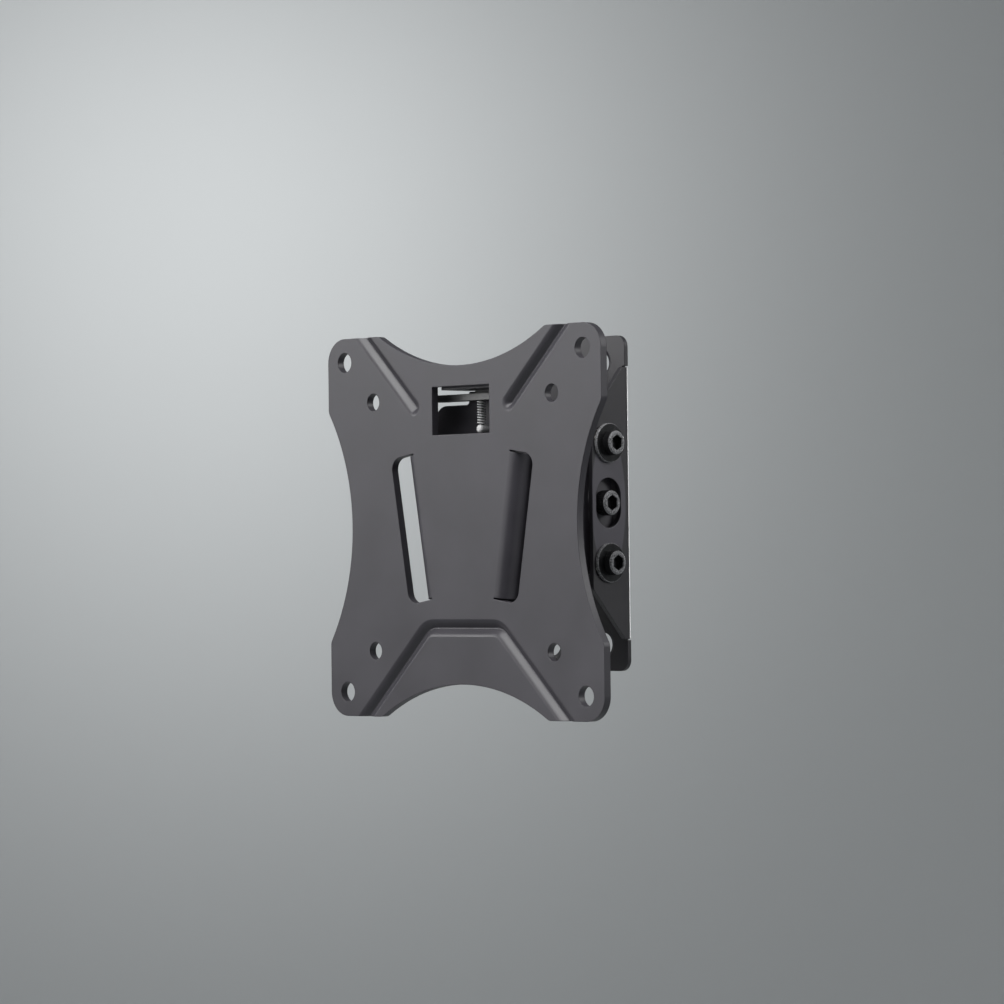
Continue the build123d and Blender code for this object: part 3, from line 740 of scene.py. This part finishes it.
class BRACKET_OT_nuts_and_rod(bpy.types.Operator):
    """Lock nuts with their nylon rings, and the rod between the middle screws"""

    bl_idname = "bracket.nuts_and_rod"
    bl_label = "Lock Nuts and Rod"

    def execute(self, context):
        zinc = finish_named("bright_zinc", bright_zinc)
        nylon = finish_named("natural_nylon", natural_nylon)
        dress("cross_rod", zinc)
        seats = []
        for place in PLACES:
            node = f"lock_nut_{place}"
            dress(node, zinc)
            low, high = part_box(node)
            centre, side = middle(node), flank(node)
            inner = low.x if side > 0 else high.x
            seats.append(((inner + side * RING_SINK, centre.y, centre.z), (-side, 0, 0)))
        rings = grow("nut_rings", ring_tree(), seats, RING_SIZES, nylon, "head", SMOOTH_ANGLE)
        return {"FINISHED"}


class BRACKET_OT_rivets(bpy.types.Operator):
    """Rivets that hold the receiver to the yoke"""

    bl_idname = "bracket.rivets"
    bl_label = "Rivets"

    def execute(self, context):
        # The rivets share the darker zinc, whose darkness is partly painted shade
        zinc = finish_named("dark_zinc_and_painted_shade", dark_zinc_and_painted_shade)
        for place in PLACES:
            dress(f"receiver_rivet_{place}", zinc)
        return {"FINISHED"}


class BRACKET_OT_lock(bpy.types.Operator):
    """Lock bar, its guide rod and clip, and the pin that carries them"""

    bl_idname = "bracket.lock"
    bl_label = "Lock"

    def execute(self, context):
        shade_darkened_zinc = finish_named("dark_zinc_and_painted_shade", dark_zinc_and_painted_shade)
        # The lock bar, guide rod and clip take the darker zinc, part of whose darkness is painted shade
        for node in ("lock_bar", "lock_guide_rod", "lock_clip"):
            dress(node, shade_darkened_zinc)
        dress("spring_pin", finish_named("matt_zinc", matt_zinc))
        return {"FINISHED"}


class BRACKET_OT_coil_spring(bpy.types.Operator):
    """Coil spring round the lock's guide rod"""

    bl_idname = "bracket.coil_spring"
    bl_label = "Coil Spring"

    def execute(self, context):
        spring = context.scene.bracket.spring
        low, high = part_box("lock_spring")
        centre = middle("lock_spring")
        height = high.z - low.z
        sizes = {
            "Coil Diameter": high.x - low.x - spring.wire, "Wire Diameter": spring.wire,
            "Height": height - spring.wire, "Turns": spring.turns,
        }
        seat = ((centre.x, centre.y, low.z + spring.wire / 2), (0, 0, 1))
        zinc = finish_named("matt_zinc", matt_zinc)
        coil = grow("coil_spring", spring_tree(), [seat], sizes, zinc, "head", WIRE_SMOOTH_ANGLE)
        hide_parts("lock_spring")
        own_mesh(coil)
        return {"FINISHED"}


class BRACKET_OT_stage(bpy.types.Operator):
    """Pale floor with a curved rim, soft lights and the camera"""

    bl_idname = "bracket.stage"
    bl_label = "Stage"

    def execute(self, context):
        stage = context.scene.bracket.stage
        pale_floor(stage)
        for light in soft_lights():
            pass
        sky(context.scene, stage.sky_strength)
        place_camera(context.scene, stage)
        context.scene.view_settings.view_transform = "Standard"
        return {"FINISHED"}


FLOOR_RADIUS, FLOOR_BEND, FLOOR_WALL = 1.6, 1.2, 1.6
BEND_STEPS, ROUND_STEPS = 16, 96
FLOOR_DIM = 0.985


def pale_floor(stage):
    """Round floor that curves up into a wall all the way round, as in a light tent."""
    profile = [Vector((0, 0, 0)), Vector((FLOOR_RADIUS, 0, 0))]
    for step in range(1, BEND_STEPS + 1):
        angle = pi / 2 * step / BEND_STEPS
        profile.append(Vector((FLOOR_RADIUS + FLOOR_BEND * sin(angle), 0, FLOOR_BEND * (1 - cos(angle)))))
    profile.append(Vector((FLOOR_RADIUS + FLOOR_BEND, 0, FLOOR_BEND + FLOOR_WALL)))
    shell = bmesh.new()
    points = [shell.verts.new(point) for point in profile]
    lines = [shell.edges.new(pair) for pair in zip(points, points[1:])]
    bmesh.ops.spin(shell, geom=points + lines, cent=(0, 0, 0), axis=(0, 0, 1), angle=2 * pi,
                   steps=ROUND_STEPS)
    bmesh.ops.remove_doubles(shell, verts=shell.verts, dist=MM)
    bmesh.ops.translate(shell, verts=shell.verts, vec=(0, 0, -stage.floor_drop))
    mesh = bpy.data.meshes.new("floor")
    shell.to_mesh(mesh)
    shell.free()
    mesh.shade_smooth()
    shader = Shader("pale_floor")
    tone = shader.noise(0.8, detail=1)
    dim = tuple(FLOOR_DIM * c for c in stage.floor_colour)
    shader.link(shader.blend(tone, dim, stage.floor_colour), shader.surface.inputs["Base Color"])
    shader.constant({"Roughness": 0.9, "Specular IOR Level": 0.1})
    mesh.materials.append(shader.material)
    floor = bpy.data.objects.new("floor", mesh)
    bpy.context.scene.collection.objects.link(floor)
    return floor


def soft_lights():
    """Large soft boxes, each with its place, target, width, height, power and spread in degrees."""
    boxes = {
        "top_box": ((0.2, -0.9, 1.25), (0, 0, 0), 1.0, 0.8, 7.5, 100),
        "front_box": ((-0.3, -1.6, 0.1), (0, 0, 0), 1.2, 1.0, 1.6, 100),
        "left_box": ((-1.3, -1.2, 0.6), (0, 0, 0), 1.0, 0.9, 5, 100),
        "right_box": ((1.15, 0.75, 0.6), (0, 0, 0), 0.8, 0.8, 3, 100),
        "back_box": ((-0.6, 1.3, 0.05), (0, 0, 0), 0.8, 0.4, 1.5, 70),
        "backdrop_box": ((-1.78, 1.42, 0.36), (-2.2, 1.76, 0.36), 0.4, 0.4, 2.7, 180),
    }
    lights = []
    for name, (place, target, width, height, power, spread) in boxes.items():
        lamp = bpy.data.lights.new(name, "AREA")
        lamp.shape = "RECTANGLE"
        lamp.size, lamp.size_y, lamp.energy = width, height, power
        lamp.spread = radians(spread)
        light = bpy.data.objects.new(name, lamp)
        light.visible_camera = False
        light.location = place
        light.rotation_euler = (Vector(target) - Vector(place)).to_track_quat("-Z", "Y").to_euler()
        bpy.context.scene.collection.objects.link(light)
        lights.append(light)
    return lights


def sky(scene, strength):
    world = bpy.data.worlds.new("studio_sky")
    world.use_nodes = True
    background = world.node_tree.nodes["Background"]
    background.inputs["Color"].default_value = (0.95, 0.97, 1.0, 1)
    background.inputs["Strength"].default_value = strength
    scene.world = world


# The sensor is in millimetres, as Blender asks, and the nearest point drawn in metres.
SENSOR_WIDTH, NEAREST = 36, 0.01


def place_camera(scene, stage):
    """Camera at its place, aimed at the target and turned about its line of sight."""
    lens = bpy.data.cameras.new("camera")
    lens.lens = stage.focal_length
    lens.sensor_width = SENSOR_WIDTH
    lens.clip_start = NEAREST
    camera = bpy.data.objects.new("camera", lens)
    face = middle("vesa_plate")
    face.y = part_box("vesa_plate")[0].y
    sight = Vector(stage.camera_target) - Vector(stage.camera_place)
    turn = sight.to_track_quat("-Z", "Y").to_matrix().to_4x4() @ Matrix.Rotation(-stage.camera_roll, 4, "Z")
    camera.matrix_world = Matrix.Translation(face + Vector(stage.camera_place)) @ turn
    scene.collection.objects.link(camera)
    scene.camera = camera


class BRACKET_PT_panel(bpy.types.Panel):
    """The bracket's pieces and settings"""

    bl_label = "Bracket"
    bl_idname = "BRACKET_PT_panel"
    bl_space_type = "VIEW_3D"
    bl_region_type = "UI"
    bl_category = "Bracket"

    def draw(self, context):
        for operator in OPERATORS:
            self.layout.operator(operator.bl_idname)
        for group in ("coat", "screws", "spring", "stage"):
            settings = getattr(context.scene.bracket, group)
            column = self.layout.column(heading=group.title())
            for name in settings.bl_rna.properties.keys():
                if name not in {"rna_type", "name"}:
                    column.prop(settings, name)


SETTINGS = (CoatSettings, ScrewSettings, SpringSettings, StageSettings, BracketSettings)
OPERATORS = (
    BRACKET_OT_pressed_plates, BRACKET_OT_clamp_screws, BRACKET_OT_middle_screws, BRACKET_OT_washers,
    BRACKET_OT_nuts_and_rod, BRACKET_OT_rivets, BRACKET_OT_lock, BRACKET_OT_coil_spring, BRACKET_OT_stage,
)


def register():
    for item in (*SETTINGS, *OPERATORS, BRACKET_PT_panel):
        bpy.utils.register_class(item)
    bpy.types.Scene.bracket = PointerProperty(type=BracketSettings)


def unregister():
    del bpy.types.Scene.bracket
    for item in reversed((*SETTINGS, *OPERATORS, BRACKET_PT_panel)):
        bpy.utils.unregister_class(item)


def main():
    register()
    bpy.ops.bracket.pressed_plates()
    bpy.ops.bracket.clamp_screws()
    bpy.ops.bracket.middle_screws()
    bpy.ops.bracket.washers()
    bpy.ops.bracket.nuts_and_rod()
    bpy.ops.bracket.rivets()
    bpy.ops.bracket.lock()
    bpy.ops.bracket.coil_spring()
    bpy.ops.bracket.stage()


if __name__ == "__main__":
    main()
